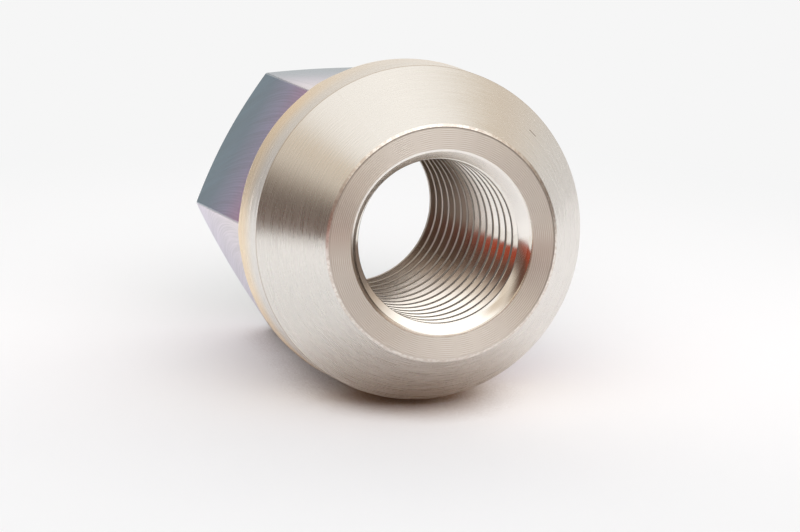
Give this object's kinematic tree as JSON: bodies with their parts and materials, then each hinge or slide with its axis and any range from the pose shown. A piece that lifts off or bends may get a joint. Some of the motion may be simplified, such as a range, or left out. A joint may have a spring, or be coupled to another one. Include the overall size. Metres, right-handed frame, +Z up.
{
  "type": "lug nut",
  "caption": "Open-ended wheel nut with a hexagon, a round collar and a conical seat, threaded for a fine-pitch wheel stud.",
  "frame": {"origin": "on the ground, under the middle of the part's box, as the nut lies on the back of its collar and the end of one hexagon flat", "axes": "+Z up; the nut's own axis lies in the YZ plane, with the seat end towards -Y and raised 7.85 degrees; X is across the nut"},
  "size_m": [0.0218, 0.029, 0.0221],
  "materials": {
    "titanium": "turned titanium with fine tool marks, hexagon colour-anodised"
  },
  "bodies": {
    "root": {"lug_nut": "titanium"}
  },
  "joints": []
}
